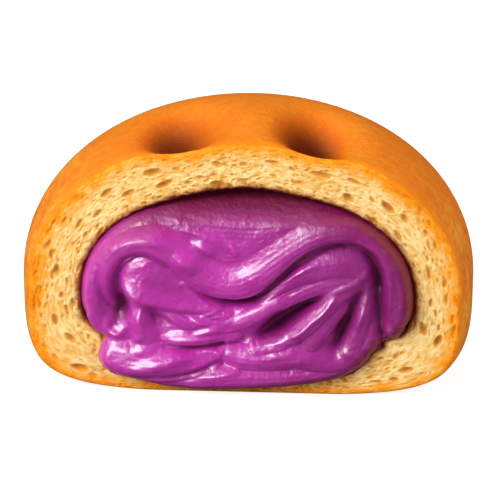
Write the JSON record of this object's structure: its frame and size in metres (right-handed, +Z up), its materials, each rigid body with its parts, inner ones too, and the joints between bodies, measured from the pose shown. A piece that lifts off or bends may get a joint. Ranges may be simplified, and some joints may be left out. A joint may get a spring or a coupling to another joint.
{
  "type": "cut filled bun",
  "caption": "Baked golden bun cut open in front of its middle, with air holes in its crumb and a folded glossy purple sweet potato filling.",
  "frame": {"origin": "middle of the flat underside, on the upright axis of the whole bun", "axes": "+Z up. The cut face looks along -Y and the bun's width runs along X."},
  "size_m": [0.1, 0.0732, 0.0601],
  "materials": {
    "bread": "baked crust, satin, with an open crumb on the cut face",
    "filling": "moist and glossy"
  },
  "bodies": {
    "root": {"bread": "bread", "filling": "filling"}
  },
  "joints": []
}
